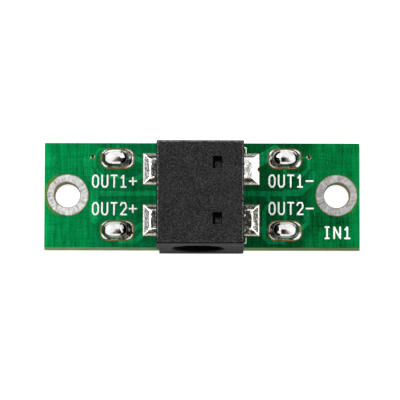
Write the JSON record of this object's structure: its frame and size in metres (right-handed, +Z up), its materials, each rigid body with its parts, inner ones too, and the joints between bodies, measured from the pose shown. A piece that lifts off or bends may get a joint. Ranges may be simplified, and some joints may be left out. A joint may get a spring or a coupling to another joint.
{
  "type": "dc barrel jack",
  "caption": "Surface-mount DC barrel jack soldered across a small screw-down board, with paired solder lands for power wires.",
  "frame": {"origin": "midway between the two mounting holes, on the board's underside", "axes": "+X along the board towards the negative lands, +Z up out of the board, and the socket's mouth faces -Y"},
  "size_m": [0.038, 0.0134, 0.012],
  "materials": {
    "housing": "fine moulded grain, black",
    "nickel_pin": "nickel plated, turned",
    "contact_sheet": "tin plated sheet",
    "laminate": "glass-epoxy laminate, pale tan edge",
    "solder_mask": "green cured solder mask",
    "copper": "etched copper foil",
    "tinned_land": "hot-air levelled tin",
    "solder": "bright reflowed solder"
  },
  "bodies": {
    "root": {"jack_housing": "housing", "center_pin": "nickel_pin", "center_terminal": "contact_sheet", "sleeve_contact": "contact_sheet", "laminate_board": "laminate", "solder_mask_top": "solder_mask", "solder_mask_bottom": "solder_mask", "positive_copper": "copper", "negative_copper": "copper", "bottom_copper": "copper", "mount_land_left": "tinned_land", "mount_land_right": "tinned_land", "wire_land_left_rear": "tinned_land", "wire_land_left_front": "tinned_land", "wire_land_right_rear": "tinned_land", "wire_land_right_front": "tinned_land", "via_left": "tinned_land", "via_right": "tinned_land", "solder_bead_left_rear": "solder", "solder_bead_left_front": "solder", "solder_bead_right_rear": "solder", "solder_bead_right_front": "solder", "foot_solder_left_rear": "solder", "foot_solder_left_front": "solder", "foot_solder_right_rear": "solder", "foot_solder_right_front": "solder"}
  },
  "joints": []
}
